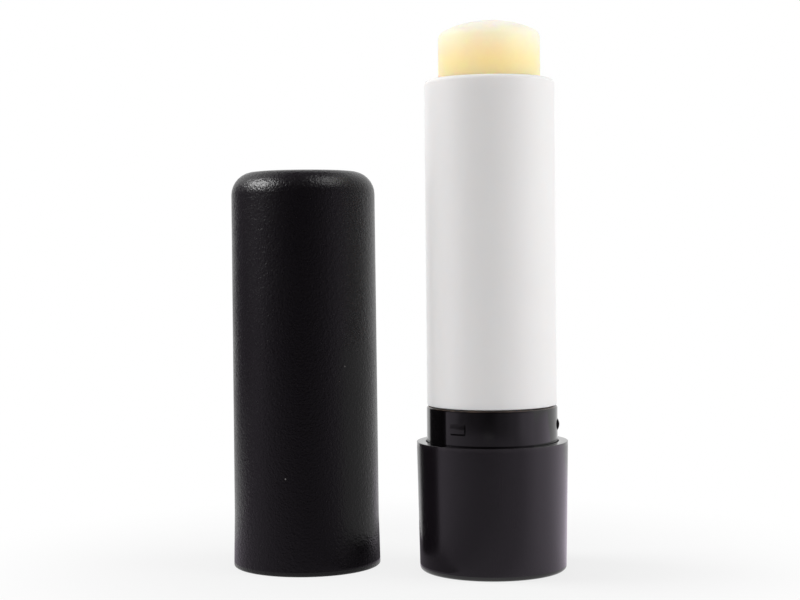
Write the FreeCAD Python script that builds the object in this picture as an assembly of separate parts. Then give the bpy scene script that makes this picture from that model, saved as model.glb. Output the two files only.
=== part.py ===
"""Twist-up lip balm stick with its cap standing beside it. Sizes are in millimetres.

The stick stands on its base sleeve: the origin is the middle of the foot, +Z runs up the stick and
-Y faces the viewer. The sizes run from the inside outwards: the balm sets the tube's bore, the tube
sets the collar, the collar sets the sleeve and the cap. Heights run from the foot upwards.
"""
import FreeCAD
import Part

import math
import os

# Balm
balm_diameter = 13.4
balm_crown_radius = 11.6
balm_below_rim_retracted = 0.5
balm_gap = 0.1

# Tube
neck_wall = 0.85
tube_exposed = 42.8
tube_rim_chamfer = 0.4
neck_floor_gap = 2.0
bead_proud = 0.3
bead_height = 1.2
bead_above_neck_end = 1.6
guide_rib_count = 4
guide_rib_width = 0.9
guide_rib_height = 0.45
guide_rib_below_rim = 9.5
guide_gap = 0.12

# Collar
neck_gap = 0.1
collar_wall = 0.9
collar_exposed = 4.7
collar_step = 0.08
collar_lip_chamfer = 0.3
collar_top_gap = 0.1
press_band_height = 6.0
bead_gap = 0.15
nib_count = 3
nib_width = 2.1
nib_height = 1.5
nib_proud = 0.25
nib_above_sleeve = 2.2

# Base sleeve
collar_gap = 0.15
sleeve_wall = 1.2
sleeve_draft = 0.3
sleeve_height = 17.0
sleeve_floor = 1.8
sleeve_foot_chamfer = 0.5
sleeve_rim_chamfer = 0.12
socket_depth = 3.4
socket_wall = 1.6
ledge_rib_count = 6
ledge_rib_width = 1.0

# Spindle, whose two-start thread is left plain: the core is drawn, and crest_diameter is kept free
core_diameter = 3.6
crest_diameter = 5.0
thread_lead = 6.0
thread_reserve = 3.0
flange_thickness = 1.2
plug_across_flats = 5.2
plug_gap = 0.03
crest_gap = 0.15

# Elevator
turns_out_at_rest = 1.4
elevator_gap = 0.15
cup_wall = 0.9
cup_depth = 4.0
cup_below_rim_at_top = 1.8
elevator_floor = 1.2
skirt_depth = 3.0
stem_length = 8.8
stem_wall = 1.2
stem_start_gap = 0.4
lug_count = 2
lug_height = 0.9
lug_angle = 20.0

# Cap
cap_height = 53.0
cap_wall = 1.1
cap_corner_radius = 3.1
cap_top_thickness = 1.4
cap_mouth_chamfer = 0.25
snap_bite = 0.1
snap_groove_gap = 0.1
cap_place_x = -25.2
cap_place_y = 2.8

# Radii that follow, from the inside outwards
balm_radius = balm_diameter / 2
tube_bore = balm_radius + balm_gap
neck_radius = tube_bore + neck_wall
collar_bore = neck_radius + neck_gap
collar_radius = collar_bore + collar_wall
sleeve_bore = collar_radius + collar_gap
sleeve_rim_radius = sleeve_bore + sleeve_wall
tube_radius = collar_radius - collar_step
elevator_radius = tube_bore - elevator_gap
cup_bore = elevator_radius - cup_wall
screw_bore = crest_diameter / 2 + crest_gap
stem_radius = screw_bore + stem_wall
nib_radius = collar_radius + nib_proud
cap_land_radius = nib_radius - snap_bite
cap_groove_radius = nib_radius + snap_groove_gap
cap_radius = cap_land_radius + cap_wall

# Heights that follow, from the foot upwards
ledge_top = sleeve_floor + socket_depth
flange_top = ledge_top + flange_thickness
collar_top = sleeve_height + collar_exposed
shoulder_height = collar_top + collar_top_gap
rim_height = shoulder_height + tube_exposed
neck_end = ledge_top + neck_floor_gap
bead_start = neck_end + bead_above_neck_end
guide_rib_top = rim_height - guide_rib_below_rim

# Heights of the carriage when it is wound right down, and how far it is wound out
stem_end = flange_top + stem_start_gap
cup_floor = stem_end + stem_length + elevator_floor
cup_rim = cup_floor + cup_depth
full_rise = rim_height - cup_below_rim_at_top - cup_rim
rise_at_rest = turns_out_at_rest * thread_lead
spindle_top = stem_end + full_rise + lug_height + thread_reserve
balm_top = rim_height - balm_below_rim_retracted


def outline(corners):
    """Closed face in the XZ plane. A corner is (radius, height), which stays sharp, or has two more
    values, a size and "chamfer" or "round", for how it is broken."""
    edges = []
    ends = []
    for index, corner in enumerate(corners):
        point = FreeCAD.Vector(corner[0], 0, corner[1])
        if len(corner) == 2:
            ends.append((point, point))
            continue
        size, form = corner[2:]
        before = corners[index - 1]
        after = corners[(index + 1) % len(corners)]
        to_before = (FreeCAD.Vector(before[0], 0, before[1]) - point).normalize()
        to_after = (FreeCAD.Vector(after[0], 0, after[1]) - point).normalize()
        half_angle = to_before.getAngle(to_after) / 2
        setback = size if form == "chamfer" else size / math.tan(half_angle)
        start = point + to_before * setback
        end = point + to_after * setback
        if form == "chamfer":
            edges.append(Part.LineSegment(start, end).toShape())
        else:
            inward = (to_before + to_after).normalize()
            middle = point + inward * (size / math.sin(half_angle) - size)
            edges.append(Part.Arc(start, middle, end).toShape())
        ends.append((start, end))
    for index in range(len(corners)):
        edges.append(Part.LineSegment(ends[index - 1][1], ends[index][0]).toShape())
    return Part.Face(Part.Wire(Part.__sortEdges__(edges)))


def turned(corners, angle=360):
    """Solid of revolution about the stick's axis."""
    return outline(corners).revolve(FreeCAD.Vector(), FreeCAD.Vector(0, 0, 1), angle)


def around(shape, count, first_angle=0):
    """Copies of a shape set evenly around the stick's axis."""
    copies = []
    for index in range(count):
        copy = shape.copy()
        copy.rotate(FreeCAD.Vector(), FreeCAD.Vector(0, 0, 1), first_angle + 360 * index / count)
        copies.append(copy)
    return copies


def radial_bar(inner, outer, width, bottom, top):
    """Straight bar along +X from one radius to another, centred on the XZ plane."""
    return Part.makeBox(outer - inner, width, top - bottom, FreeCAD.Vector(inner, -width / 2, bottom))


def hexagon_prism(across_flats, bottom, top):
    """Six-sided prism about the stick's axis."""
    corner_radius = across_flats / math.sqrt(3)
    corners = []
    for index in range(7):
        angle = math.pi / 3 * index
        corners.append(FreeCAD.Vector(corner_radius * math.cos(angle), corner_radius * math.sin(angle), bottom))
    return Part.Face(Part.makePolygon(corners)).extrude(FreeCAD.Vector(0, 0, top - bottom))


def base_sleeve():
    """Tapered cup with a flat foot, a six-sided socket and ribs that carry the collar."""
    foot_radius = sleeve_rim_radius - sleeve_draft
    cup = turned([
        (0, 0),
        (foot_radius, 0, sleeve_foot_chamfer, "chamfer"),
        (sleeve_rim_radius, sleeve_height, sleeve_rim_chamfer, "chamfer"),
        (sleeve_bore, sleeve_height),
        (sleeve_bore, sleeve_floor),
        (0, sleeve_floor),
    ])
    boss_radius = plug_across_flats / math.sqrt(3) + socket_wall
    boss = Part.makeCylinder(boss_radius, socket_depth, FreeCAD.Vector(0, 0, sleeve_floor))
    rib = radial_bar(boss_radius / 2, sleeve_bore + sleeve_wall / 3, ledge_rib_width, sleeve_floor, ledge_top)
    body = cup.fuse([boss] + around(rib, ledge_rib_count)).removeSplitter()
    return body.cut(hexagon_prism(plug_across_flats + 2 * plug_gap, sleeve_floor, ledge_top))


def snap_nib():
    """One small pad on the collar, lens-shaped from the side, that the cap snaps over."""
    middle = sleeve_height + nib_above_sleeve
    root = collar_radius - collar_wall / 2
    bottom = FreeCAD.Vector(collar_radius, 0, middle - nib_height / 2)
    top = FreeCAD.Vector(collar_radius, 0, middle + nib_height / 2)
    edges = [
        Part.Arc(bottom, FreeCAD.Vector(nib_radius, 0, middle), top).toShape(),
        Part.makePolygon([top, FreeCAD.Vector(root, 0, top.z), FreeCAD.Vector(root, 0, bottom.z), bottom]),
    ]
    angle = math.degrees(nib_width / collar_radius)
    pad = Part.Face(Part.Wire(edges)).revolve(FreeCAD.Vector(), FreeCAD.Vector(0, 0, 1), angle)
    pad.rotate(FreeCAD.Vector(), FreeCAD.Vector(0, 0, 1), -angle / 2)
    return pad


def snap_collar():
    """Collar pressed into the sleeve, with a groove for the tube's bead and nibs for the cap."""
    groove = collar_bore + bead_proud + bead_gap - neck_gap
    groove_start = bead_start - bead_gap
    groove_end = bead_start + bead_height + bead_gap
    band_top = ledge_top + press_band_height
    ring = turned([
        (collar_bore, ledge_top),
        (sleeve_bore, ledge_top),
        (sleeve_bore, band_top),
        (collar_radius, band_top + 2 * collar_gap),
        (collar_radius, collar_top, collar_lip_chamfer, "chamfer"),
        (collar_bore, collar_top),
        (collar_bore, groove_end),
        (groove, groove_end),
        (groove, groove_start),
        (collar_bore, groove_start),
    ])
    return ring.fuse(around(snap_nib(), nib_count)).removeSplitter()


def tube():
    """White barrel on a neck that turns in the collar, with guide ribs down its bore."""
    bead_radius = neck_radius + bead_proud
    barrel = turned([
        (tube_bore, neck_end),
        (neck_radius, neck_end),
        (neck_radius, bead_start),
        (bead_radius, bead_start + bead_proud),
        (bead_radius, bead_start + bead_height - bead_proud),
        (neck_radius, bead_start + bead_height),
        (neck_radius, shoulder_height),
        (tube_radius, shoulder_height),
        (tube_radius, rim_height, tube_rim_chamfer, "chamfer"),
        (tube_bore, rim_height),
    ])
    rib = radial_bar(
        tube_bore - guide_rib_height, tube_bore + neck_wall / 2, guide_rib_width, neck_end, guide_rib_top
    )
    return barrel.fuse(around(rib, guide_rib_count)).removeSplitter()


def spindle():
    """Drive screw: a six-sided plug, a flange that stands on the socket, and the core of the thread."""
    core_radius = core_diameter / 2
    flange_radius = plug_across_flats / math.sqrt(3) + socket_wall
    screw = turned([
        (0, ledge_top),
        (flange_radius, ledge_top),
        (flange_radius, flange_top),
        (core_radius, flange_top),
        (core_radius, spindle_top),
        (0, spindle_top),
    ])
    return screw.fuse(hexagon_prism(plug_across_flats, sleeve_floor, ledge_top)).removeSplitter()


def guide_notches(inner_radius, bottom, top):
    """Slots that let a piece slide along the tube's guide ribs."""
    slot = radial_bar(inner_radius, tube_bore, guide_rib_width + 2 * guide_gap, bottom, top)
    return around(slot, guide_rib_count)


def elevator():
    """Cup that carries the balm, on a stem whose lugs run in the thread; drawn wound right down."""
    floor_bottom = cup_floor - elevator_floor
    skirt_end = floor_bottom - skirt_depth
    body = turned([
        (screw_bore, stem_end),
        (stem_radius, stem_end),
        (stem_radius, floor_bottom),
        (cup_bore, floor_bottom),
        (cup_bore, skirt_end),
        (elevator_radius, skirt_end),
        (elevator_radius, cup_rim),
        (cup_bore, cup_rim),
        (cup_bore, cup_floor),
        (screw_bore, cup_floor),
    ])
    core_clear = core_diameter / 2 + crest_gap
    lug = turned([
        (core_clear, stem_end),
        (screw_bore + stem_wall / 2, stem_end),
        (screw_bore + stem_wall / 2, stem_end + lug_height),
        (core_clear, stem_end + lug_height),
    ], lug_angle)
    body = body.fuse(around(lug, lug_count)).removeSplitter()
    notch_radius = tube_bore - guide_rib_height - guide_gap
    return body.cut(guide_notches(notch_radius, skirt_end, cup_rim))


def balm():
    """Poured stick of balm: domed above, grooved by the guide ribs, footed in the cup; wound down."""
    bore_top = spindle_top + stem_start_gap
    crown_centre = balm_top - balm_crown_radius
    edge_angle = math.acos(balm_radius / balm_crown_radius)
    middle_angle = (edge_angle + math.pi / 2) / 2
    crown_edge = FreeCAD.Vector(balm_radius, 0, crown_centre + balm_crown_radius * math.sin(edge_angle))
    crown_middle = FreeCAD.Vector(
        balm_crown_radius * math.cos(middle_angle), 0, crown_centre + balm_crown_radius * math.sin(middle_angle)
    )
    apex = FreeCAD.Vector(0, 0, balm_top)
    sides = Part.makePolygon([
        apex,
        FreeCAD.Vector(0, 0, bore_top),
        FreeCAD.Vector(screw_bore, 0, bore_top),
        FreeCAD.Vector(screw_bore, 0, cup_floor),
        FreeCAD.Vector(cup_bore, 0, cup_floor),
        FreeCAD.Vector(cup_bore, 0, cup_rim),
        FreeCAD.Vector(balm_radius, 0, cup_rim),
        crown_edge,
    ])
    crown = Part.Arc(crown_edge, crown_middle, apex).toShape()
    profile = Part.Face(Part.Wire(sides.Edges + [crown]))
    body = profile.revolve(FreeCAD.Vector(), FreeCAD.Vector(0, 0, 1), 360)
    notch_radius = tube_bore - guide_rib_height - guide_gap
    return body.cut(guide_notches(notch_radius, cup_rim, guide_rib_top + guide_gap))


def cap():
    """Cap standing on its mouth, with a snap groove inside for the collar's nibs."""
    ceiling = cap_height - cap_top_thickness
    groove_start = nib_above_sleeve - nib_height / 2 - snap_groove_gap
    groove_end = nib_above_sleeve + nib_height / 2 + snap_groove_gap
    shell = turned([
        (cap_land_radius, 0),
        (cap_radius, 0, cap_mouth_chamfer, "chamfer"),
        (cap_radius, cap_height, cap_corner_radius, "round"),
        (0, cap_height),
        (0, ceiling),
        (cap_land_radius, ceiling),
        (cap_land_radius, groove_end),
        (cap_groove_radius, groove_end),
        (cap_groove_radius, groove_start),
        (cap_land_radius, groove_start),
    ])
    shell.translate(FreeCAD.Vector(cap_place_x, cap_place_y, 0))
    return shell


def raised(shape):
    """The carriage is drawn wound down, and stands this much higher at rest."""
    shape.translate(FreeCAD.Vector(0, 0, rise_at_rest))
    return shape


nodes = {
    "base_sleeve": base_sleeve(),
    "snap_collar": snap_collar(),
    "tube": tube(),
    "spindle": spindle(),
    "elevator": raised(elevator()),
    "balm": raised(balm()),
    "cap": cap(),
}

os.makedirs("parts", exist_ok=True)
for name, shape in nodes.items():
    solid = shape.Solids[0]
    solid.exportStep("parts/" + name + ".step")
    box = solid.BoundBox
    print(name, len(shape.Solids), "solid", solid.isValid(), round(solid.Volume, 1), "mm3",
          "z", round(box.ZMin, 3), round(box.ZMax, 3), "width", round(box.XLength, 3))
print("turns, full and at rest:", full_rise / thread_lead, turns_out_at_rest)
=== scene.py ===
# %% [markdown]
# # A twist-up lip balm stick
# A lip balm stick is seven small mouldings: a sleeve to hold, a collar pressed into it, a tube that turns
# in the collar, a screw, a cup that the screw lifts, the balm in the cup, and a cap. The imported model
# already holds them at their true places and sizes, in metres, so this lesson only dresses them: it makes
# finer meshes where the real mouldings have small rounds, and gives every surface a finish.

import math

import bmesh
import bpy
from mathutils import Matrix, Vector, noise


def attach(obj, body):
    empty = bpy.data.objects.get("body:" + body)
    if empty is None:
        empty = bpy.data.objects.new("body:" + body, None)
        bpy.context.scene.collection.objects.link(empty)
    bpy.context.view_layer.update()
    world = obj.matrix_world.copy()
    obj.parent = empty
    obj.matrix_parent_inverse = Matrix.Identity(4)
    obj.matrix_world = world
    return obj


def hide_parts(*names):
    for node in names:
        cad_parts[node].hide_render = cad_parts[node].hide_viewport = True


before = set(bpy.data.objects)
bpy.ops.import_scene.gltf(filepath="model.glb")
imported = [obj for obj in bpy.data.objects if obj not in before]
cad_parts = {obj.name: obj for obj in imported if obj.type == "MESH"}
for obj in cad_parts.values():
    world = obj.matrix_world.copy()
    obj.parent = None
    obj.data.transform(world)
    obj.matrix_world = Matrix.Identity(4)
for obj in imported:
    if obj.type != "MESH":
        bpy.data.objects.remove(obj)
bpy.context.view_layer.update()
mm = 0.001
print("nodes:", ", ".join(sorted(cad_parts)))

# %% [markdown]
# ## Camera
# A product photograph of a small stick is taken from close by with a long lens, a little above the middle
# of the object. Its place, its three turns and the focal length were found from the edges of the sleeve,
# the tube and the cap. A focal length in pixels turns into millimetres by the width of the sensor. The
# turns are written one after the other, because that is how a tripod head is set: turn, tilt, roll.

# %% Set up the camera
image_width = 800
focal_pixels = 1649
sensor_width = 36
camera_place = Vector((2.81, -218.38, 42.31)) * mm
turn = math.radians(3.898)
tilt = math.radians(90 - 1.726)
roll = math.radians(-0.6)

lens = bpy.data.cameras.new("stick camera")
lens.sensor_fit = "HORIZONTAL"
lens.sensor_width = sensor_width
lens.lens = focal_pixels / image_width * sensor_width
lens.clip_start = 0.01
camera = bpy.data.objects.new("stick camera", lens)
bpy.context.scene.collection.objects.link(camera)
camera.matrix_world = (
    Matrix.Translation(camera_place)
    @ Matrix.Rotation(turn, 4, "Z")
    @ Matrix.Rotation(tilt, 4, "X")
    @ Matrix.Rotation(roll, 4, "Z")
)
bpy.context.scene.camera = camera
print("lens in mm:", round(lens.lens, 1))

# %% [markdown]
# ## Turned pieces
# Nearly every part of the stick is round, so it could be made from cylinders that are cut and joined. A
# wire profile is shorter: it lists the corners of half the section, from the axis outwards. A Bevel
# modifier set to vertices rounds each corner by its own size, which is stored as a bevel weight, and a
# Screw modifier without any rise turns the wire about the axis. The result is one closed skin.

# %% Helpers for turned pieces
def settle(piece):
    """Replaces a piece's mesh with what its modifiers make of it."""
    evaluated = piece.evaluated_get(bpy.context.evaluated_depsgraph_get())
    mesh = bpy.data.meshes.new_from_object(evaluated)
    piece.modifiers.clear()
    piece.data = mesh
    return piece


def face_outwards(piece):
    """Welds points that coincide and turns every face outwards."""
    shape = bmesh.new()
    shape.from_mesh(piece.data)
    bmesh.ops.remove_doubles(shape, verts=shape.verts, dist=1e-4 * mm)
    bmesh.ops.recalc_face_normals(shape, faces=shape.faces)
    shape.to_mesh(piece.data)
    shape.free()
    return piece


def turned(name, corners, steps=160, closed=False, angle=360):
    """Turns a profile about the Z axis. A corner is its radius, its height and its rounding in mm."""
    wire = bpy.data.meshes.new(name)
    places = [(radius * mm, 0, height * mm) for radius, height, rounding in corners]
    sides = [(index, index + 1) for index in range(len(corners) - 1)]
    if closed:
        sides.append((len(corners) - 1, 0))
    wire.from_pydata(places, sides, [])
    largest = max(rounding for radius, height, rounding in corners)
    piece = bpy.data.objects.new(name, wire)
    bpy.context.scene.collection.objects.link(piece)
    if largest > 0:
        weights = wire.attributes.new("bevel_weight_vert", "FLOAT", "POINT")
        weights.data.foreach_set("value", [rounding / largest for radius, height, rounding in corners])
        rounding = piece.modifiers.new("round the corners", "BEVEL")
        rounding.affect = "VERTICES"
        rounding.limit_method = "WEIGHT"
        rounding.width = largest * mm
        rounding.segments = 8
        rounding.use_clamp_overlap = False
    turning = piece.modifiers.new("turn about the axis", "SCREW")
    turning.angle = math.radians(angle)
    turning.steps = steps
    turning.render_steps = steps
    turning.use_merge_vertices = True
    turning.merge_threshold = 1e-4 * mm
    return face_outwards(settle(piece))


def combine(piece, tools, operation):
    """Joins other closed pieces to a piece, or cuts them out of it, and then removes them."""
    for tool in tools:
        step = piece.modifiers.new("combine", "BOOLEAN")
        step.operation = operation
        step.solver = "EXACT"
        step.object = tool
    settle(piece)
    for tool in tools:
        bpy.data.objects.remove(tool)
    return piece


def shade(piece, sharp_angle=32):
    """Smooth shading between soft edges, led by the large faces so that flat stretches stay flat."""
    piece.data.shade_smooth()
    piece.data.set_sharp_from_angle(angle=math.radians(sharp_angle))
    leading = piece.modifiers.new("large faces lead", "WEIGHTED_NORMAL")
    leading.keep_sharp = True
    settle(piece)
    print(piece.name, "has", len(piece.data.polygons), "faces")
    return piece


# %% [markdown]
# ## Bars and prisms
# Ribs, notches and the six-sided drive socket are not round. They are short straight bars, copied evenly
# around the axis, and are joined to the turned pieces or cut out of them with a Boolean modifier.

# %% Helpers for bars and prisms
def bar(name, inner, outer, width, bottom, top, angle):
    """A straight bar that points away from the axis in one direction, with sizes in mm."""
    shape = bmesh.new()
    bmesh.ops.create_cube(shape, size=1)
    bmesh.ops.scale(shape, vec=Vector((outer - inner, width, top - bottom)) * mm, verts=shape.verts)
    middle = Vector(((inner + outer) / 2, 0, (bottom + top) / 2)) * mm
    bmesh.ops.translate(shape, vec=middle, verts=shape.verts)
    bmesh.ops.rotate(shape, matrix=Matrix.Rotation(math.radians(angle), 3, "Z"), verts=shape.verts)
    mesh = bpy.data.meshes.new(name)
    shape.to_mesh(mesh)
    shape.free()
    piece = bpy.data.objects.new(name, mesh)
    bpy.context.scene.collection.objects.link(piece)
    return piece


def bars_around(name, count, inner, outer, width, bottom, top):
    """Equal bars set evenly around the axis."""
    return [bar(name, inner, outer, width, bottom, top, 360 / count * index) for index in range(count)]


def hexagon(name, across_flats, bottom, top):
    """A six-sided prism about the axis, with a corner on the X axis."""
    corner_radius = across_flats / math.sqrt(3)
    profile = [(0, bottom, 0), (corner_radius, bottom, 0), (corner_radius, top, 0), (0, top, 0)]
    return turned(name, profile, steps=6)


# %% [markdown]
# ## Cap
# The cap is a deep cup that was moulded in satin black and stands on its mouth beside the stick. Its
# outside narrows a little towards the top, which lets it leave the mould, and its top edge has a
# generous round. Inside the mouth runs a shallow groove that snaps over the collar. A tapered cylinder
# would miss the groove and the lip, so the whole wall is one profile, outside and inside.

# %% Turn the cap
cap_axis = Vector((-25.2, 2.8, 0)) * mm
cap_height = 53
cap_top_radius = 9.62
flare_radius = 9.74
flare_start = 7
cap_mouth_radius = 9.9
cap_bore = 8.8
cap_bore_top = 8.66
cap_ceiling = 51.6
snap_groove_radius = 9
snap_groove_bottom = 1.35
snap_groove_top = 3.05

cap = turned("cap_shell", [
    (0, cap_height, 0),
    (cap_top_radius, cap_height, 3.1),
    (flare_radius, flare_start, 0),
    (cap_mouth_radius, 0, 0.28),
    (cap_bore, 0, 0.3),
    (cap_bore, snap_groove_bottom, 0.06),
    (snap_groove_radius, snap_groove_bottom, 0.06),
    (snap_groove_radius, snap_groove_top, 0.06),
    (cap_bore, snap_groove_top, 0.06),
    (cap_bore_top, cap_ceiling, 1.6),
    (0, cap_ceiling, 0),
], steps=192)
cap.location = cap_axis
shade(cap)

# %% [markdown]
# ## Base sleeve
# The sleeve is the black cup that the fingers turn. Its wall widens slightly towards the rim, and the foot
# is flat so that the stick stands. Inside, a boss with a six-sided socket holds the screw from turning,
# and six ribs carry the collar.

# %% Turn the base sleeve
sleeve_height = 17
sleeve_rim_radius = 10
sleeve_foot_radius = 9.7
sleeve_bore = 8.8
sleeve_floor = 1.8
boss_radius = 4.6
boss_top = 5.2

sleeve = turned("sleeve_cup", [
    (0, 0, 0),
    (sleeve_foot_radius, 0, 0.5),
    (sleeve_rim_radius, sleeve_height, 0.07),
    (sleeve_bore, sleeve_height, 0.06),
    (sleeve_bore, sleeve_floor, 0.3),
    (boss_radius, sleeve_floor, 0.2),
    (boss_radius, boss_top, 0.1),
    (0, boss_top, 0),
], steps=192)
ribs = bars_around("sleeve_rib", 6, inner=4.4, outer=9.1, width=1, bottom=1.7, top=boss_top)
combine(sleeve, ribs, "UNION")
combine(sleeve, [hexagon("socket", across_flats=5.26, bottom=sleeve_floor, top=5.4)], "DIFFERENCE")
shade(sleeve)

# %% [markdown]
# ## Snap collar
# The collar is a glossy ring, pressed into the sleeve, and the cap clicks onto it. Three low pads on its
# outside do the clicking. Each pad is a lens-shaped profile turned through a few degrees only, so its
# face follows the ring. A groove in the bore lets the tube turn without lifting out.

# %% Turn the collar and its snap pads
collar_radius = 8.65
collar_bore = 7.75
collar_top = 21.7
press_band_top = 11.2
bead_groove_radius = 8.1
bead_groove_bottom = 8.65
bead_groove_top = 10.15

collar = turned("collar_ring", [
    (collar_bore, boss_top, 0),
    (sleeve_bore, boss_top, 0.15),
    (sleeve_bore, press_band_top, 0.1),
    (collar_radius, press_band_top + 0.3, 0.1),
    (collar_radius, collar_top, 0.35),
    (collar_bore, collar_top, 0.12),
    (collar_bore, bead_groove_top, 0.05),
    (bead_groove_radius, bead_groove_top, 0.05),
    (bead_groove_radius, bead_groove_bottom, 0.05),
    (collar_bore, bead_groove_bottom, 0.05),
], steps=192, closed=True)


def snap_pad(name, angle):
    """A low pad on the collar, lens-shaped from the side."""
    sagitta = 0.25
    half_height = 0.75
    middle = 19.2
    width = 2.1
    root_radius = 8.3
    arc_radius = (half_height ** 2 + sagitta ** 2) / (2 * sagitta)
    reach = math.asin(half_height / arc_radius)
    face = []
    for index in range(9):
        lean = reach * (index / 4 - 1)
        fall = arc_radius * (1 - math.cos(lean))
        face.append((collar_radius + sagitta - fall, middle + arc_radius * math.sin(lean), 0))
    width_angle = math.degrees(width / collar_radius)
    profile = [(root_radius, middle - half_height, 0)] + face + [(root_radius, middle + half_height, 0)]
    pad = turned(name, profile, steps=12, closed=True, angle=width_angle)
    shape = bmesh.new()
    shape.from_mesh(pad.data)
    bmesh.ops.holes_fill(shape, edges=[edge for edge in shape.edges if edge.is_boundary])
    bmesh.ops.recalc_face_normals(shape, faces=shape.faces)
    turn_to_place = Matrix.Rotation(math.radians(angle - width_angle / 2), 3, "Z")
    bmesh.ops.rotate(shape, matrix=turn_to_place, verts=shape.verts)
    shape.to_mesh(pad.data)
    shape.free()
    return pad


combine(collar, [snap_pad("snap_pad", angle) for angle in (0, 120, 240)], "UNION")
shade(collar)

# %% [markdown]
# ## Tube
# The white tube carries the balm. Its lower end is a thinner neck that turns inside the collar, with a bead
# that holds it there, and four ribs down its bore keep the cup from turning. The rim is rounded outside
# and inside because it touches the skin.

# %% Turn the tube
tube_bore = 6.8
tube_radius = 8.57
tube_top = 64.6
tube_foot = 21.8
neck_radius = 7.65
neck_bottom = 7.2
bead_radius = 7.95

tube = turned("balm_tube", [
    (tube_bore, neck_bottom, 0.1),
    (neck_radius, neck_bottom, 0.15),
    (neck_radius, 8.8, 0.05),
    (bead_radius, 9.1, 0.08),
    (bead_radius, 9.7, 0.08),
    (neck_radius, 10, 0.05),
    (neck_radius, tube_foot, 0.05),
    (tube_radius, tube_foot, 0.12),
    (tube_radius, tube_top, 0.6),
    (tube_bore, tube_top, 0.35),
], steps=192, closed=True)
guide_ribs = bars_around("guide_rib", 4, inner=6.35, outer=7.2, width=0.9, bottom=7.4, top=55.1)
combine(tube, guide_ribs, "UNION")
shade(tube)

# %% [markdown]
# ## Balm
# The balm was poured into the tube and set with a low dome. A sphere on a cylinder would show a hard edge
# between the two, where the wax really flows round in a soft shoulder, so the profile joins two arcs that
# touch. Below, it fits round the cup's wall and leaves a bore for the screw.

# %% Turn the balm
balm_radius = 6.7
crown_radius = 14
shoulder_radius = 1.2
balm_top = 72.46
balm_bottom = 25.2
cup_rim = 29.2
cup_bore = 5.75
screw_bore = 2.65
screw_bore_top = 61.5
crown_centre = balm_top - crown_radius
shoulder_centre_radius = balm_radius - shoulder_radius
shoulder_rise = math.sqrt((crown_radius - shoulder_radius) ** 2 - shoulder_centre_radius ** 2)
meeting_angle = math.atan2(shoulder_centre_radius, shoulder_rise)

crown_steps = 16
shoulder_steps = 10
fade_rows = (68, 66, 64)

profile = []
for index in range(crown_steps + 1):
    lean = meeting_angle * index / crown_steps
    profile.append((crown_radius * math.sin(lean), crown_centre + crown_radius * math.cos(lean), 0))
for index in range(1, shoulder_steps + 1):
    lean = meeting_angle + (math.pi / 2 - meeting_angle) * index / shoulder_steps
    profile.append((
        shoulder_centre_radius + shoulder_radius * math.sin(lean),
        crown_centre + shoulder_rise + shoulder_radius * math.cos(lean),
        0,
    ))
profile += [(balm_radius, height, 0) for height in (*fade_rows, cup_rim)]
profile += [(cup_bore, cup_rim, 0), (cup_bore, balm_bottom, 0), (screw_bore, balm_bottom, 0)]
profile += [(screw_bore, screw_bore_top, 0), (0, screw_bore_top, 0)]
balm = turned("balm_stick", profile, steps=128)
print("shoulder starts at", round(crown_radius * math.sin(meeting_angle), 2), "mm from the axis")

# %% [markdown]
# ## Uneven dome
# Wax shrinks unevenly as it sets. A bump in the material would leave the outline perfect, so a little noise
# moves the dome's own points by a few hundredths of a millimetre, and a slight slant shows which way the
# stick stood. Then the tube's ribs leave their grooves.

# %% Let the dome set unevenly
uneven_from = 64.5
uneven_fade = 3
uneven_depth = 0.035
uneven_middle = 0.6
broad_waves = 260
fine_waves = 620
slant_depth = 0.06

for point in balm.data.vertices:
    if point.co.z > uneven_from * mm:
        fade = min(1, (point.co.z / mm - uneven_from) / uneven_fade)
        unevenness = noise.noise(point.co * broad_waves) + 0.5 * noise.noise(point.co * fine_waves)
        slant = slant_depth * point.co.x / (balm_radius * mm) - slant_depth
        point.co.z += fade * (uneven_depth * (unevenness - uneven_middle) + slant) * mm
rib_grooves = bars_around("rib_groove", 4, inner=6.23, outer=7.2, width=1.14, bottom=cup_rim, top=63.62)
combine(balm, rib_grooves, "DIFFERENCE")
shade(balm, sharp_angle=50)
print("dome top in mm:", round(max(point.co.z for point in balm.data.vertices) / mm, 2))

# %% [markdown]
# ## Screw
# The screw inside the tube lifts the cup by six millimetres in each turn. It has two starts, so two ridges
# wind round the core side by side. The Screw modifier that turned the other pieces can also rise as it
# turns: a wire with both ridges on it, one lead long, meets its own end after each turn, so the thread
# is one skin. Two cuts trim the ragged ends, and a flange and a six-sided plug go below.

# %% Wind the thread
lead = 6
root_radius = 1.8
crest_radius = 2.5
thread_start = 3.4833
thread_bottom = 6.3
screw_top = 52.7
flange_top = 6.4
one_ridge = [(root_radius, 0.85), (crest_radius, 1.15), (crest_radius, 1.85), (root_radius, 2.15)]
wire_points = [(root_radius, 0)] + one_ridge
wire_points += [(radius, height + lead / 2) for radius, height in one_ridge] + [(root_radius, lead)]
wire = bpy.data.meshes.new("drive_screw")
wire.from_pydata(
    [(radius * mm, 0, (height + thread_start) * mm) for radius, height in wire_points],
    [(index, index + 1) for index in range(len(wire_points) - 1)],
    [],
)
screw = bpy.data.objects.new("drive_screw", wire)
bpy.context.scene.collection.objects.link(screw)
winding = screw.modifiers.new("wind", "SCREW")
winding.angle = 2 * math.pi
winding.screw_offset = lead * mm
winding.iterations = 9
winding.steps = 40
winding.render_steps = 40
winding.use_merge_vertices = False
settle(screw)
shape = bmesh.new()
shape.from_mesh(screw.data)
bmesh.ops.remove_doubles(shape, verts=shape.verts, dist=1e-3 * mm)
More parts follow.
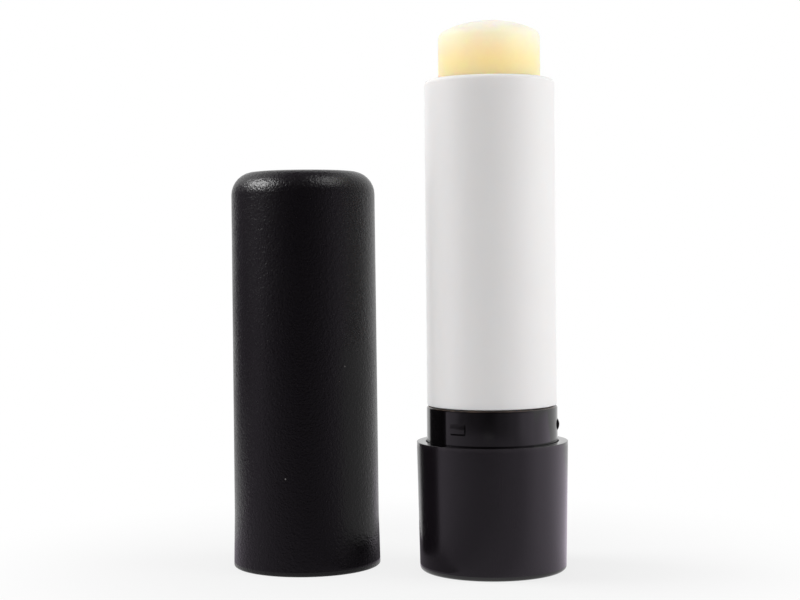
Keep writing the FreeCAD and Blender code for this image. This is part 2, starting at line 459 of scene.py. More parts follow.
for height, outward in ((thread_bottom, -1), (screw_top, 1)):
    everything = shape.verts[:] + shape.edges[:] + shape.faces[:]
    bmesh.ops.bisect_plane(
        shape, geom=everything, plane_co=(0, 0, height * mm), plane_no=(0, 0, outward), clear_outer=True
    )
bmesh.ops.holes_fill(shape, edges=[edge for edge in shape.edges if edge.is_boundary])
bmesh.ops.recalc_face_normals(shape, faces=shape.faces)
print("open edges on the thread:", sum(not edge.is_manifold for edge in shape.edges))
shape.to_mesh(screw.data)
shape.free()
flange = turned("flange", [
    (0, boss_top, 0),
    (boss_radius, boss_top, 0.1),
    (boss_radius, flange_top, 0.1),
    (0, flange_top, 0),
], steps=96)
plug = hexagon("plug", across_flats=5.2, bottom=sleeve_floor, top=5.3)
combine(screw, [flange, plug], "UNION")
shade(screw)

# %% [markdown]
# ## Node groups
# The stick's mouldings share the same small marks: grain, wear and dust. Nodes could be copied from one
# material to the next, but then a change would have to be made in each. A node group is built once and
# placed in every material, which sets its named sockets to its own values.

# %% Helpers for node groups
def new_group(name, inputs, outputs):
    """A shader node group with named number sockets and its two end nodes."""
    group = bpy.data.node_groups.new(name, "ShaderNodeTree")
    for socket_name, value in inputs:
        socket = group.interface.new_socket(name=socket_name, in_out="INPUT", socket_type="NodeSocketFloat")
        socket.default_value = value
    for socket_name in outputs:
        group.interface.new_socket(name=socket_name, in_out="OUTPUT", socket_type="NodeSocketFloat")
    given = group.nodes.new("NodeGroupInput")
    made = group.nodes.new("NodeGroupOutput")
    return group, given, made


def add_node(tree, kind, values=None, **settings):
    """A node with its settings, and the values of its unlinked inputs by name or number."""
    node = tree.nodes.new(kind)
    for setting, value in settings.items():
        setattr(node, setting, value)
    for socket, value in (values or {}).items():
        node.inputs[socket].default_value = value
    return node


# %% [markdown]
# ## Mould grain
# Most moulds for caps are etched or blasted, which leaves a fine frosted grain on the plastic. It shows as
# a soft sheen that breaks into bright points near a lamp. Carving it into the mesh would take millions of
# faces, so the group puts out a height for a Bump node, and a glitter mask that lowers the roughness.

# %% Build the mould grain group
mould_grain, given, made = new_group("Mould grain", [("Scale", 5000.0)], ["Height", "Glitter"])
place = add_node(mould_grain, "ShaderNodeTexCoord")
pebbles = add_node(mould_grain, "ShaderNodeTexVoronoi", feature="SMOOTH_F1", voronoi_dimensions="3D")
cloud = add_node(mould_grain, "ShaderNodeTexNoise", {"Detail": 3.0, "Roughness": 0.6})
mixed = add_node(mould_grain, "ShaderNodeMath", {1: 0.6}, operation="MULTIPLY_ADD")
coarser = add_node(mould_grain, "ShaderNodeMath", {1: 0.45}, operation="MULTIPLY")
sparks = add_node(mould_grain, "ShaderNodeTexNoise", {"Detail": 1.0})
glitter = add_node(
    mould_grain, "ShaderNodeMapRange", {"From Min": 0.56, "From Max": 0.72}, interpolation_type="SMOOTHSTEP"
)
link = mould_grain.links.new
link(place.outputs["Object"], pebbles.inputs["Vector"])
link(place.outputs["Object"], cloud.inputs["Vector"])
link(place.outputs["Object"], sparks.inputs["Vector"])
link(given.outputs["Scale"], pebbles.inputs["Scale"])
link(given.outputs["Scale"], coarser.inputs[0])
link(coarser.outputs[0], cloud.inputs["Scale"])
link(given.outputs["Scale"], sparks.inputs["Scale"])
link(pebbles.outputs["Distance"], mixed.inputs[0])
link(cloud.outputs[0], mixed.inputs[2])
link(mixed.outputs[0], made.inputs["Height"])
link(sparks.outputs[0], glitter.inputs["Value"])
link(glitter.outputs["Result"], made.inputs["Glitter"])
print("mould grain has", len(mould_grain.nodes), "nodes")

# %% [markdown]
# ## Handling marks
# A moulding that people have held is never evenly dull: fingers leave soft patches, and pockets leave
# hairline scratches. A large noise gives the patches. Stretching a second noise far more along one
# direction than across it gives the hairlines. Both leave the group as masks.

# %% Build the handling marks group
handling, given, made = new_group(
    "Handling marks", [("Patch Scale", 90.0), ("Hairlines", 0.5)], ["Patches", "Hairline"]
)
place = add_node(handling, "ShaderNodeTexCoord")
patches = add_node(handling, "ShaderNodeTexNoise", {"Detail": 4.0, "Roughness": 0.55, "Distortion": 0.4})
patch_range = add_node(
    handling, "ShaderNodeMapRange", {"From Min": 0.35, "From Max": 0.7}, interpolation_type="SMOOTHSTEP"
)
stretch = add_node(handling, "ShaderNodeMapping", {"Scale": (2600, 2600, 90), "Rotation": (0.3, 0.2, 0)})
hairs = add_node(handling, "ShaderNodeTexNoise", {"Scale": 1.0, "Detail": 2.0})
hair_range = add_node(
    handling, "ShaderNodeMapRange", {"From Min": 0.66, "From Max": 0.74}, interpolation_type="SMOOTHSTEP"
)
hair_amount = add_node(handling, "ShaderNodeMath", operation="MULTIPLY")
link = handling.links.new
link(place.outputs["Object"], patches.inputs["Vector"])
link(given.outputs["Patch Scale"], patches.inputs["Scale"])
link(patches.outputs[0], patch_range.inputs["Value"])
link(patch_range.outputs["Result"], made.inputs["Patches"])
link(place.outputs["Object"], stretch.inputs["Vector"])
link(stretch.outputs["Vector"], hairs.inputs["Vector"])
link(hairs.outputs[0], hair_range.inputs["Value"])
link(hair_range.outputs["Result"], hair_amount.inputs[0])
link(given.outputs["Hairlines"], hair_amount.inputs[1])
link(hair_amount.outputs[0], made.inputs["Hairline"])
print("handling marks has", len(handling.nodes), "nodes")

# %% [markdown]
# ## Edges that rub, and a painted highlight
# Rims and corners rub against pockets and bags, so they shine more and look a shade paler. On the collar's
# lip the same band also paints a highlight: its pale bronze stands in for the light that the lip's small
# round would mirror. Tools that look for sharp edges need very fine meshes. Here every edge that rubs is
# a circle about the axis, so its radius and height are enough: the group measures how far a point is from
# that circle, and breaks the band up with noise.

# %% Build the group for edges that rub and for the lip highlight
edge_rub_and_highlight, given, made = new_group(
    "Rubbed edge and lip highlight", [("Radius", 0.01), ("Height", 0.0), ("Reach", 0.0006)], ["Rub"]
)
place = add_node(edge_rub_and_highlight, "ShaderNodeTexCoord")
apart = add_node(edge_rub_and_highlight, "ShaderNodeSeparateXYZ")
flat = add_node(edge_rub_and_highlight, "ShaderNodeCombineXYZ")
from_axis = add_node(edge_rub_and_highlight, "ShaderNodeVectorMath", operation="LENGTH")
off_radius = add_node(edge_rub_and_highlight, "ShaderNodeMath", operation="SUBTRACT")
off_height = add_node(edge_rub_and_highlight, "ShaderNodeMath", operation="SUBTRACT")
offset = add_node(edge_rub_and_highlight, "ShaderNodeCombineXYZ")
distance = add_node(edge_rub_and_highlight, "ShaderNodeVectorMath", operation="LENGTH")
share = add_node(edge_rub_and_highlight, "ShaderNodeMath", operation="DIVIDE")
breakup = add_node(edge_rub_and_highlight, "ShaderNodeTexNoise", {"Scale": 900.0, "Detail": 4.0, "Roughness": 0.65})
ragged = add_node(edge_rub_and_highlight, "ShaderNodeMath", operation="ADD")
band = add_node(
    edge_rub_and_highlight, "ShaderNodeMapRange", {"From Min": 1.5, "From Max": 0.7}, interpolation_type="SMOOTHSTEP"
)
link = edge_rub_and_highlight.links.new
link(place.outputs["Object"], apart.inputs[0])
link(apart.outputs["X"], flat.inputs["X"])
link(apart.outputs["Y"], flat.inputs["Y"])
link(flat.outputs[0], from_axis.inputs[0])
link(from_axis.outputs["Value"], off_radius.inputs[0])
link(given.outputs["Radius"], off_radius.inputs[1])
link(apart.outputs["Z"], off_height.inputs[0])
link(given.outputs["Height"], off_height.inputs[1])
link(off_radius.outputs[0], offset.inputs["X"])
link(off_height.outputs[0], offset.inputs["Y"])
link(offset.outputs[0], distance.inputs[0])
link(distance.outputs["Value"], share.inputs[0])
link(given.outputs["Reach"], share.inputs[1])
link(place.outputs["Object"], breakup.inputs["Vector"])
link(share.outputs[0], ragged.inputs[0])
link(breakup.outputs[0], ragged.inputs[1])
link(ragged.outputs[0], band.inputs["Value"])
link(band.outputs["Result"], made.inputs["Rub"])
print("rubbed edge and lip highlight has", len(edge_rub_and_highlight.nodes), "nodes")

# %% [markdown]
# ## Dust
# A few pale specks settle on black plastic however well it is wiped. A Voronoi texture scatters points; a
# speck is drawn only close to a point, and only where that point's random colour picks it.

# %% Build the dust group
dust, given, made = new_group("Dust specks", [("Scale", 650.0), ("Share", 0.05)], ["Specks"])
place = add_node(dust, "ShaderNodeTexCoord")
scatter = add_node(dust, "ShaderNodeTexVoronoi", voronoi_dimensions="3D")
near = add_node(dust, "ShaderNodeMapRange", {"From Min": 0.08, "From Max": 0.03})
split = add_node(dust, "ShaderNodeSeparateColor")
picked = add_node(dust, "ShaderNodeMath", operation="LESS_THAN")
specks = add_node(dust, "ShaderNodeMath", operation="MULTIPLY")
link = dust.links.new
link(place.outputs["Object"], scatter.inputs["Vector"])
link(given.outputs["Scale"], scatter.inputs["Scale"])
link(scatter.outputs["Distance"], near.inputs["Value"])
link(scatter.outputs["Color"], split.inputs[0])
link(split.outputs[0], picked.inputs[0])
link(given.outputs["Share"], picked.inputs[1])
link(near.outputs["Result"], specks.inputs[0])
link(picked.outputs[0], specks.inputs[1])
link(specks.outputs[0], made.inputs["Specks"])
print("dust has", len(dust.nodes), "nodes")

# %% [markdown]
# ## Plastic finishes
# All the mouldings are the same kind of material: one Principled shader whose colour is lifted where edges
# rub and dust lies, whose roughness follows grain, patches and hairlines, and whose bump is the grain. On
# the collar's lip the lifted colour is also a painted highlight.
# So one helper wires the groups, and each finish gives it its own numbers. Values that do not change
# over the surface are set straight on the shader.

# %% Helper for moulded plastic
def place_group(tree, group, values):
    """Places a node group in a material with its own values."""
    node = tree.nodes.new("ShaderNodeGroup")
    node.node_tree = group
    for socket, value in values.items():
        node.inputs[socket].default_value = value
    return node


def mix_colour(tree, mask, base, over):
    """Mixes a colour over a base, which is a colour or the output of another mix, by a mask."""
    node = tree.nodes.new("ShaderNodeMix")
    node.data_type = "RGBA"
    tree.links.new(mask, node.inputs[0])
    if isinstance(base, tuple):
        node.inputs[6].default_value = (*base, 1)
    else:
        tree.links.new(base, node.inputs[6])
    node.inputs[7].default_value = (*over, 1)
    return node.outputs[2]


def add_scaled(tree, mask, amount, base):
    """Adds a share of a mask to a number, or to the output of another sum."""
    node = tree.nodes.new("ShaderNodeMath")
    node.operation = "MULTIPLY_ADD"
    tree.links.new(mask, node.inputs[0])
    node.inputs[1].default_value = amount
    if isinstance(base, (int, float)):
        node.inputs[2].default_value = base
    else:
        tree.links.new(base, node.inputs[2])
    return node.outputs[0]


dust_grey = (0.14, 0.135, 0.13)
hairline_rough = 0.12
scatter_depth = 1.5


def moulded_plastic(name, colour, pale, roughness, grain, grain_depth, edges, patches=0.05, hairlines=0.4,
                    glitter=0.0, specks=0.0, rub_gloss=-0.1, specular=0.5, patch_tint=0.9,
                    scatter=0.0, reach=0.6):
    """A moulded plastic finish. Edges are circles that rub, each a radius and a height in mm."""
    material = bpy.data.materials.new(name)
    material.use_nodes = True
    tree = material.node_tree
    shader = tree.nodes["Principled BSDF"]
    shader.inputs["Specular IOR Level"].default_value = specular
    shader.inputs["Subsurface Weight"].default_value = scatter
    shader.inputs["Subsurface Radius"].default_value = (1, 0.9, 0.85)
    shader.inputs["Subsurface Scale"].default_value = scatter_depth * mm
    grain_node = place_group(tree, mould_grain, {"Scale": grain})
    marks = place_group(tree, handling, {"Hairlines": hairlines})
    tinted = tuple(patch_tint * part for part in colour)
    colour_so_far = mix_colour(tree, marks.outputs["Patches"], colour, tinted)
    rough_so_far = add_scaled(tree, marks.outputs["Patches"], patches, roughness)
    rough_so_far = add_scaled(tree, marks.outputs["Hairline"], hairline_rough, rough_so_far)
    if glitter:
        rough_so_far = add_scaled(tree, grain_node.outputs["Glitter"], -glitter, rough_so_far)
    for radius, height in edges:
        circle = {"Radius": radius * mm, "Height": height * mm, "Reach": reach * mm}
        # Each band lifts the colour to pale; on the collar's lip that pale is partly wear and partly a
        # painted highlight.
        rub_and_highlight = place_group(tree, edge_rub_and_highlight, circle)
        colour_so_far = mix_colour(tree, rub_and_highlight.outputs["Rub"], colour_so_far, pale)
        rough_so_far = add_scaled(tree, rub_and_highlight.outputs["Rub"], rub_gloss, rough_so_far)
    if specks:
        flecks = place_group(tree, dust, {"Share": specks})
        colour_so_far = mix_colour(tree, flecks.outputs["Specks"], colour_so_far, dust_grey)
    relief = add_node(tree, "ShaderNodeBump", {"Strength": 1.0, "Distance": grain_depth * mm})
    tree.links.new(grain_node.outputs["Height"], relief.inputs["Height"])
    tree.links.new(relief.outputs["Normal"], shader.inputs["Normal"])
    tree.links.new(colour_so_far, shader.inputs["Base Color"])
    tree.links.new(rough_so_far, shader.inputs["Roughness"])
    print(name, "has", len(tree.nodes), "nodes")
    return material


# %% [markdown]
# ## The six plastics
# The cap is frosted and only faintly shiny. The sleeve is satin with a polished rim, and the collar
# is polished all over; the bronze line along its lip is partly wear and partly a painted highlight. The
# tube is a white that light enters a little, and the hidden pieces are the plastic's own natural white.
# The blacks are very dark, because what is seen on them is mostly reflection.

# %% Mix the plastic finishes
cap_black = moulded_plastic(
    "cap_frosted_black", colour=(0.0024, 0.0018, 0.0026), pale=(0.006, 0.005, 0.006), roughness=0.28,
    grain=4600, grain_depth=0.065, edges=[(cap_mouth_radius, 0), (9.2, 52.4)],
    glitter=0.1, specks=0.03, specular=0.22,
)
sleeve_black = moulded_plastic(
    "sleeve_satin_black", colour=(0.0062, 0.0048, 0.0064), pale=(0.012, 0.01, 0.012), roughness=0.22,
    grain=5600, grain_depth=0.005, edges=[(sleeve_rim_radius, sleeve_height), (9.65, 0)],
    glitter=0.05, specks=0.02,
)
rim_black = moulded_plastic(
    "sleeve_rim_polished", colour=(0.004, 0.0034, 0.0042), pale=(0.03, 0.028, 0.03), roughness=0.07,
    grain=1500, grain_depth=0.0006, edges=[(sleeve_rim_radius, sleeve_height)],
    hairlines=0.2, rub_gloss=0.1, specular=0.9, reach=0.2,
)
# The collar's pale bronze band along its lip is partly wear and partly a painted highlight.
collar_black = moulded_plastic(
    "collar_gloss_black", colour=(0.0026, 0.0022, 0.0026), pale=(0.09, 0.062, 0.045), roughness=0.06,
    grain=1500, grain_depth=0.0004, edges=[(8.6, collar_top)],
    patches=0.03, hairlines=0.15, rub_gloss=0.06, reach=0.22,
)
tube_white = moulded_plastic(
    "tube_white", colour=(0.87, 0.855, 0.85), pale=(0.89, 0.88, 0.875), roughness=0.28,
    grain=1800, grain_depth=0.0012, edges=[(8.5, tube_top)],
    hairlines=0.25, patch_tint=0.992, scatter=0.5,
)
natural_white = moulded_plastic(
    "natural_white", colour=(0.8, 0.79, 0.75), pale=(0.83, 0.82, 0.79), roughness=0.4,
    grain=2600, grain_depth=0.003, edges=[], patch_tint=0.97,
)

# %% [markdown]
# ## Wax
# Balm is wax and oil: light enters it, wanders a few millimetres and comes out yellower than it went in.
# A painted yellow would look like plastic, so the shader scatters light below the surface, red furthest
# and blue least, and lets a little of it straight through. A weak sheen stands for the bloom that pales
# the wax where it curves away. The dome is given a paler colour by height, which is painted light: it
# stands in for the paler glow of the dome's top, where more light falls and scatters back near the
# surface. The surface has a soft, shallow unevenness.

# %% Mix the wax
core_yellow = (0.99, 0.7, 0.31)
dome_painted_pale = (0.83, 0.78, 0.66)
cloud_cream = (0.96, 0.93, 0.82)
cloud_share = 0.18
dome_foot = 66
dome_head = 71.5
wax_roughness = 0.42

balm_wax = bpy.data.materials.new("balm_wax")
balm_wax.use_nodes = True
tree = balm_wax.node_tree
shader = tree.nodes["Principled BSDF"]
shader.subsurface_method = "RANDOM_WALK"
shader.inputs["Subsurface Weight"].default_value = 1
shader.inputs["Subsurface Radius"].default_value = (1, 0.55, 0.1)
shader.inputs["Subsurface Scale"].default_value = 9 * mm
shader.inputs["Specular IOR Level"].default_value = 0.4
shader.inputs["Transmission Weight"].default_value = 0.12
shader.inputs["Sheen Weight"].default_value = 0.3
shader.inputs["Sheen Roughness"].default_value = 0.7
place = add_node(tree, "ShaderNodeTexCoord")
apart = add_node(tree, "ShaderNodeSeparateXYZ")
up_the_dome = add_node(
    tree, "ShaderNodeMapRange", {"From Min": dome_foot * mm, "From Max": dome_head * mm},
    interpolation_type="SMOOTHSTEP",
)
clouding = add_node(tree, "ShaderNodeTexNoise", {"Scale": 240.0, "Detail": 3.0, "Roughness": 0.5})
faint = add_node(tree, "ShaderNodeMath", {1: cloud_share}, operation="MULTIPLY")
tree.links.new(place.outputs["Object"], apart.inputs[0])
tree.links.new(apart.outputs["Z"], up_the_dome.inputs["Value"])
tree.links.new(place.outputs["Object"], clouding.inputs["Vector"])
tree.links.new(clouding.outputs[0], faint.inputs[0])
# Painted light: the dome's top takes the paler colour that its stronger light gives it.
wax_colour = mix_colour(tree, up_the_dome.outputs["Result"], core_yellow, dome_painted_pale)
wax_colour = mix_colour(tree, faint.outputs[0], wax_colour, cloud_cream)
tree.links.new(wax_colour, shader.inputs["Base Color"])
marks = place_group(tree, handling, {"Patch Scale": 160.0, "Hairlines": 0.0})
wax_rough = add_scaled(tree, marks.outputs["Patches"], 0.12, wax_roughness)
tree.links.new(wax_rough, shader.inputs["Roughness"])
skin = place_group(tree, mould_grain, {"Scale": 900.0})
relief = add_node(tree, "ShaderNodeBump", {"Strength": 1.0, "Distance": 0.012 * mm})
tree.links.new(skin.outputs["Height"], relief.inputs["Height"])
tree.links.new(relief.outputs["Normal"], shader.inputs["Normal"])
print("balm_wax has", len(tree.nodes), "nodes")

# %% [markdown]
# ## Dress the model
# Each new piece takes its finish, hides the imported node it stands for, and rides on that node's body, so
# it turns and lifts with the joints. The cup inside the tube has the right shape already and only gets
# its finish.

# %% Give each piece its finish, node and body
dressing = [
    (cap, cap_black, "cap", "cap", "satin_black"),
    (sleeve, sleeve_black, "base_sleeve", "base", "satin_black"),
    (collar, collar_black, "snap_collar", "base", "gloss_black"),
    (tube, tube_white, "tube", "barrel", "white_tube"),
    (balm, balm_wax, "balm", "carriage", "balm"),
    (screw, natural_white, "spindle", "base", "natural_white"),
]
for piece, finish, node, body, slot in dressing:
    piece.data.materials.clear()
    piece.data.materials.append(finish)
    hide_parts(node)
    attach(piece, body)
sleeve.data.materials.append(rim_black)
rim_depth = 0.2
for face in sleeve.data.polygons:
    if face.normal.z > 0.7 and face.center.z > (sleeve_height - rim_depth) * mm:
        face.material_index = 1
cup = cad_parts["elevator"]
cup.data.materials.clear()
cup.data.materials.append(natural_white)
print("dressed", len(dressing), "pieces and the", cup.name)

# %% [markdown]
# ## Materials for the stage
# The floor, the room and the cloths round the objects are plain matt or glowing surfaces, so they need no
# Principled shader, and one helper makes an empty material. A second helper asks the Light Path node
# whether a ray comes from the camera, from a mirror or through something clear. With it, a white can show
# wherever it is looked at without lighting anything.

# %% Helpers for the stage
def bare_material(name):
    """A material without a shader, its node tree and the socket for its surface."""
    material = bpy.data.materials.new(name)
    material.use_nodes = True
    tree = material.node_tree
    tree.nodes.remove(tree.nodes["Principled BSDF"])
    return material, tree, tree.nodes["Material Output"].inputs["Surface"]


def looked_at(tree):
    """One for rays from the camera, from a mirror or through something clear, and zero for others."""
    rays = add_node(tree, "ShaderNodeLightPath")
    seen = add_node(tree, "ShaderNodeMath", operation="MAXIMUM")
    seen_through = add_node(tree, "ShaderNodeMath", operation="MAXIMUM")
    tree.links.new(rays.outputs["Is Camera Ray"], seen.inputs[0])
    tree.links.new(rays.outputs["Is Glossy Ray"], seen.inputs[1])
    tree.links.new(seen.outputs[0], seen_through.inputs[0])
    tree.links.new(rays.outputs["Is Transmission Ray"], seen_through.inputs[1])
    return seen_through.outputs[0]


# %% [markdown]
# ## Floor
# The stick and its cap stand on a plain white sweep. Close to them the floor is partly an ordinary matt
# surface, which keeps a soft shadow; a little further out it fades into even white, so no horizon shows.
# A curved backdrop would need its own light to come out as white as that. From here on, sizes are in
# metres, because the studio is far larger than the stick.

# %% Build the floor
middle_between = Vector((cap_axis.x / 2, 0, 0))
half_floor = 6
fade_start = 0.025
fade_end = 0.07
white_near = 0.75

floor_corners = [(-half_floor, -half_floor, 0), (half_floor, -half_floor, 0)]
floor_corners += [(half_floor, half_floor, 0), (-half_floor, half_floor, 0)]
floor_mesh = bpy.data.meshes.new("floor")
floor_mesh.from_pydata(floor_corners, [], [(0, 1, 2, 3)])
floor = bpy.data.objects.new("floor", floor_mesh)
floor.location = middle_between
bpy.context.scene.collection.objects.link(floor)
floor_white, tree, surface = bare_material("floor_white")
matt = add_node(tree, "ShaderNodeBsdfDiffuse", {"Color": (0.75, 0.75, 0.75, 1)})
even = add_node(tree, "ShaderNodeEmission", {"Color": (1, 1, 1, 1), "Strength": 1})
place = add_node(tree, "ShaderNodeTexCoord")
reach = add_node(tree, "ShaderNodeVectorMath", operation="LENGTH")
fade_range = {"From Min": fade_start, "From Max": fade_end, "To Min": white_near, "To Max": 1.0}
fade = add_node(tree, "ShaderNodeMapRange", fade_range, interpolation_type="SMOOTHSTEP")
share = add_node(tree, "ShaderNodeMath", operation="MULTIPLY")
blend = add_node(tree, "ShaderNodeMixShader")
tree.links.new(place.outputs["Object"], reach.inputs[0])
tree.links.new(reach.outputs["Value"], fade.inputs["Value"])
tree.links.new(fade.outputs["Result"], share.inputs[0])
tree.links.new(looked_at(tree), share.inputs[1])
tree.links.new(share.outputs[0], blend.inputs[0])
tree.links.new(matt.outputs[0], blend.inputs[1])
tree.links.new(even.outputs[0], blend.inputs[2])
tree.links.new(blend.outputs[0], surface)
floor_mesh.materials.append(floor_white)
print("floor is", 2 * half_floor, "m wide")

# %% [markdown]
# ## Room
# The room is white all round. Where it is looked at it is full white, which gives the plain background.
# As a light it is much weaker, because light from every side at once would wash out the shading that the
# lamps give.

# %% Set the room's white
room_light = 0.3

studio = bpy.data.worlds.new("studio")
bpy.context.scene.world = studio
studio.use_nodes = True
studio.cycles.sampling_method = "NONE"
tree = studio.node_tree
white = tree.nodes["Background"]
white.inputs["Color"].default_value = (1, 1, 1, 1)
level = add_node(tree, "ShaderNodeMath", {1: 1 - room_light, 2: room_light}, operation="MULTIPLY_ADD")
tree.links.new(looked_at(tree), level.inputs[0])
tree.links.new(level.outputs[0], white.inputs["Strength"])
print("room light:", room_light)

# %% [markdown]
# ## Cloths that only mirrors show
# Black plastic mirrors the white room, so the black pieces would look grey. A photographer hangs dark
# cloths for them, but those would also take light from the white pieces. Blender can hide an object from
# all rays but the glossy ones, so here each cloth is seen in mirrors only. Its shade follows the bearing
# round the objects through a colour ramp, so that reflections fade softly round the pieces.

# %% Helpers for cloths
def mirror_cloth(name, points, finish, faces=None):
    """A cloth that is seen in reflections only. Without faces, its points are the outline of one."""
    mesh = bpy.data.meshes.new(name)
    mesh.from_pydata(points, [], faces or [tuple(range(len(points)))])
    mesh.materials.append(finish)
    cloth = bpy.data.objects.new(name, mesh)
    cloth.location = middle_between
    cloth.visible_camera = False
    cloth.visible_diffuse = False
    cloth.visible_shadow = False
    bpy.context.scene.collection.objects.link(cloth)
    return cloth


violet = (1, 0.9, 1.04)
dim_start = 0.03
dim_end = 0.12


def cloth_finish(name, shades, dim=1):
    """A cloth's glow. A shade is a bearing, in degrees from the front to the right, and a brightness.

    High up, the brightness falls to the share that dim gives.
    """
    finish, tree, surface = bare_material(name)
    finish.cycles.emission_sampling = "NONE"
    first = shades[0][0]
    last = shades[-1][0]
    place = add_node(tree, "ShaderNodeTexCoord")
    apart = add_node(tree, "ShaderNodeSeparateXYZ")
    towards_viewer = add_node(tree, "ShaderNodeMath", {1: -1.0}, operation="MULTIPLY")
    bearing = add_node(tree, "ShaderNodeMath", operation="ARCTAN2")
    span = {"From Min": math.radians(first), "From Max": math.radians(last)}
    across = add_node(tree, "ShaderNodeMapRange", span)
    ramp = add_node(tree, "ShaderNodeValToRGB")
    ramp.color_ramp.interpolation = "EASE"
    stops = ramp.color_ramp.elements
    stops.remove(stops[1])
    for degrees, brightness in shades:
        stop = stops[0] if degrees == first else stops.new((degrees - first) / (last - first))
        stop.color = (*(brightness * part for part in violet), 1)
    rise = {"From Min": dim_start, "From Max": dim_end, "To Min": 1, "To Max": dim}
    higher = add_node(tree, "ShaderNodeMapRange", rise)
    dimmed = add_node(tree, "ShaderNodeVectorMath", operation="SCALE")
    glow = add_node(tree, "ShaderNodeEmission", {"Strength": 1})
    tree.links.new(place.outputs["Object"], apart.inputs[0])
    tree.links.new(apart.outputs["Y"], towards_viewer.inputs[0])
    tree.links.new(apart.outputs["X"], bearing.inputs[0])
    tree.links.new(towards_viewer.outputs[0], bearing.inputs[1])
    tree.links.new(bearing.outputs[0], across.inputs["Value"])
    tree.links.new(across.outputs["Result"], ramp.inputs[0])
    tree.links.new(apart.outputs["Z"], higher.inputs["Value"])
    tree.links.new(ramp.outputs["Color"], dimmed.inputs[0])
    tree.links.new(higher.outputs["Result"], dimmed.inputs["Scale"])
    tree.links.new(dimmed.outputs[0], glow.inputs["Color"])
    tree.links.new(glow.outputs[0], surface)
    return finish


# %% [markdown]
# ## Dark tent
# The largest cloth is a half tent. It starts on the table in front of the objects, climbs behind the camera
# and closes above them. It is darkest in front and pales towards its two ends. A few heights along its
# path, swept round the objects in small steps, make its panels.

# %% Hang the dark tent
tent_path = [(0.165, 0.001), (0.5, 0.001), (0.6, 0.06), (0.64, 0.2), (0.6, 0.45), (0.4, 0.6), (0.02, 0.64)]
tent_columns = 38
tent_shades = [
    (-112, 0.9), (-86, 0.66), (-69, 0.55), (-49, 0.22), (-30, 0.13), (0, 0.06),
    (23, 0.2), (41, 0.36), (61, 0.8), (78, 1.0),
]
tent_first = tent_shades[0][0]
tent_last = tent_shades[-1][0]

tent_points = []
for column in range(tent_columns + 1):
    angle = math.radians(tent_first + (tent_last - tent_first) * column / tent_columns)
    for radius, height in tent_path:
        tent_points.append((radius * math.sin(angle), -radius * math.cos(angle), height))
tent_faces = []
rows = len(tent_path)
for column in range(tent_columns):
    for row in range(rows - 1):
        corner = column * rows + row
        tent_faces.append((corner, corner + 1, corner + rows + 1, corner + rows))
tent_finish = cloth_finish("tent_cloth", tent_shades, dim=0.5)
mirror_cloth("dark_tent", tent_points, tent_finish, tent_faces)
print("tent has", len(tent_faces), "panels")

# %% [markdown]
# ## Table, ceiling and side
# The black pieces also mirror what they stand on, so a grey table top lies just above the floor, with a
# darker strip in the gap between the stick and the cap. That strip is a painted shadow: a dark sheet for
# the shade on the floor in the narrow gap. A ceiling cloth closes the tent at the back, and a small side
# cloth stands to the left. All of them are flat sheets.

# %% Lay the table and hang the flat cloths
def level_sheet(outline, height):
    """Points of a level sheet with a given outline."""
    return [(x, y, height) for x, y in outline]


def upright_sheet(x, start, end, bottom, top):
    """Corners of a sheet across the X axis. It faces right where its end lies behind its start."""
    return [(x, start, bottom), (x, end, bottom), (x, end, top), (x, start, top)]


table_shades = [(-180, 1.0), (-90, 0.6), (0, 0.31), (45, 0.45), (78, 0.95), (110, 1.2), (180, 1.2)]
table_outline = [(-0.165, -0.165), (0.165, -0.165), (0.22, 0), (0.22, 0.08)]
table_outline += [(0.012, 0.08), (0.012, 0.016), (-0.165, 0.016)]
table_height = 0.0006
gap_outline = [(-0.007, -0.01), (0.007, -0.01), (0.007, 0.032), (-0.007, 0.032)]
gap_height = 0.0008
ceiling_outline = [(-0.24, -0.02), (0.2, -0.02), (0.2, 0.6), (-0.24, 0.6)]
ceiling_height = 0.63

table_finish = cloth_finish("table_grey", table_shades)
dark_finish = cloth_finish("ceiling_grey", [(-180, 0.17), (180, 0.17)])
mirror_cloth("grey_table", level_sheet(table_outline, table_height), table_finish)
# A painted shadow: a dark sheet that the black pieces mirror in place of the shade in the gap.
mirror_cloth("gap_shade", level_sheet(gap_outline, gap_height), dark_finish)
mirror_cloth("ceiling_cloth", level_sheet(ceiling_outline, ceiling_height), dark_finish)
mirror_cloth("side_cloth", upright_sheet(-0.11, start=-0.012, end=0.1, bottom=0, top=0.1), dark_finish)

# %% [markdown]
# ## Card
# The cap and the sleeve stand so close that each would mirror the other. A small card that glows pale
# stands between them, seen only in mirrors, and keeps the sleeve out of the cap's reflection: the cap
# shows a painted pale reflection there. It must not show in the sleeve, so its back is clear: the
# Geometry node says which side of a face a ray meets.

# %% Stand the card in the gap
card_glow = 0.8

card_finish, tree, surface = bare_material("card_white")
card_finish.cycles.emission_sampling = "NONE"
side = add_node(tree, "ShaderNodeNewGeometry")
front = add_node(tree, "ShaderNodeEmission", {"Color": (1, 1, 1, 1), "Strength": card_glow})
clear = add_node(tree, "ShaderNodeBsdfTransparent")
either = add_node(tree, "ShaderNodeMixShader")
tree.links.new(side.outputs["Backfacing"], either.inputs[0])
tree.links.new(front.outputs[0], either.inputs[1])
tree.links.new(clear.outputs[0], either.inputs[2])
tree.links.new(either.outputs[0], surface)
card_corners = upright_sheet(0, start=0.005, end=-0.008, bottom=0.0035, top=0.03)
card = mirror_cloth("gap_card", card_corners, card_finish)
print("card height in mm:", round(card.dimensions.z / mm, 1))

# %% [markdown]
# ## Lamps
# Five soft lamps light the set: one on each side, and weaker ones in front, above and behind. They are
# hidden from mirrors, because the cloths already give the reflections. Light linking lets a lamp choose
# its objects. The left lamp passes through the cap, whose shadow would fall on the tube. Two lamps light
# only the cap, for its two soft highlights, and two light only the balm, so that it glows.

# %% Set the lamps
aim_height = 0.035


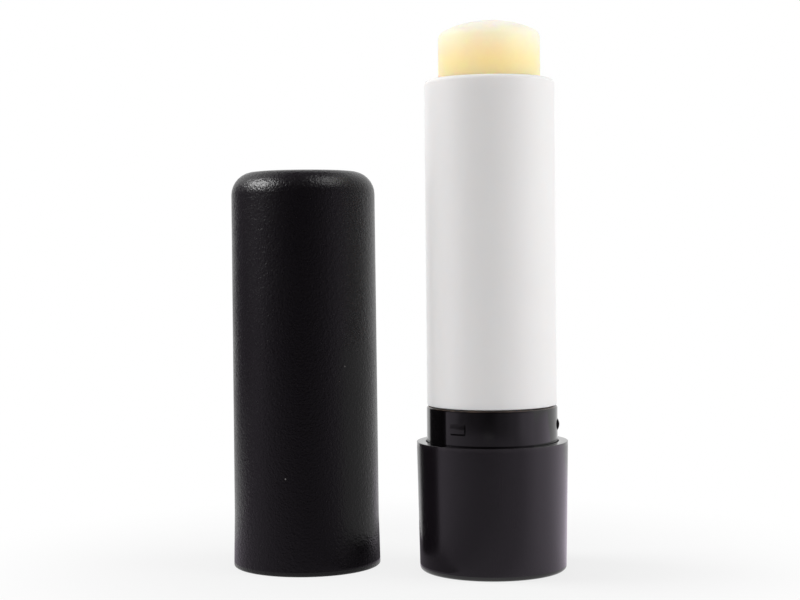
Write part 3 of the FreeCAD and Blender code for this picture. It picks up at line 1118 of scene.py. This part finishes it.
def soft_lamp(name, place, width, height, power, mirrored=False, only=None):
    """A soft lamp that faces the space between the stick and the cap, or lights one collection only."""
    data = bpy.data.lights.new(name, "AREA")
    data.shape = "RECTANGLE"
    data.size = width
    data.size_y = height
    data.energy = power
    lamp = bpy.data.objects.new(name, data)
    bpy.context.scene.collection.objects.link(lamp)
    lamp.location = place
    aim = middle_between + Vector((0, 0, aim_height)) - Vector(place)
    lamp.rotation_euler = aim.to_track_quat("-Z", "Y").to_euler()
    lamp.visible_camera = False
    lamp.visible_glossy = mirrored
    if only:
        lamp.light_linking.receiver_collection = only
    return lamp


def collection_of(name, thing):
    """A collection with one object, for light linking."""
    collection = bpy.data.collections.new(name)
    collection.objects.link(thing)
    return collection


left_lamp = soft_lamp("left_lamp", (-0.46, 0.05, 0.33), width=0.3, height=0.3, power=2.05)
soft_lamp("right_lamp", (0.52, -0.02, 0.24), width=0.5, height=0.5, power=2.0)
soft_lamp("front_lamp", (-0.05, -0.55, 0.12), width=0.4, height=0.3, power=0.5)
soft_lamp("top_lamp", (0, 0.02, 0.6), width=0.4, height=0.4, power=0.45)
soft_lamp("back_lamp", (0.02, 0.45, 0.1), width=0.3, height=0.2, power=0.25)
without_cap = collection_of("all but the cap", cap)
without_cap.collection_objects[0].light_linking.link_state = "EXCLUDE"
left_lamp.light_linking.blocker_collection = without_cap
only_cap = collection_of("only the cap", cap)
soft_lamp("left_glint", (-0.44, -0.07, 0.36), 0.28, 0.24, power=5, mirrored=True, only=only_cap)
soft_lamp("right_glint", (0.26, -0.09, 0.46), 0.3, 0.3, power=1.4, mirrored=True, only=only_cap)
only_balm = collection_of("only the balm", balm)
soft_lamp("left_wax", (-0.38, -0.28, 0.08), 0.25, 0.2, power=0.68, only=only_balm)
soft_lamp("right_wax", (0.38, -0.28, 0.08), 0.25, 0.2, power=0.8, only=only_balm)

# %% [markdown]
# ## Colour
# The view transform is set to Standard so that a colour on screen is the colour that was written.

# %% Set the view transform
bpy.context.scene.view_settings.view_transform = "Standard"
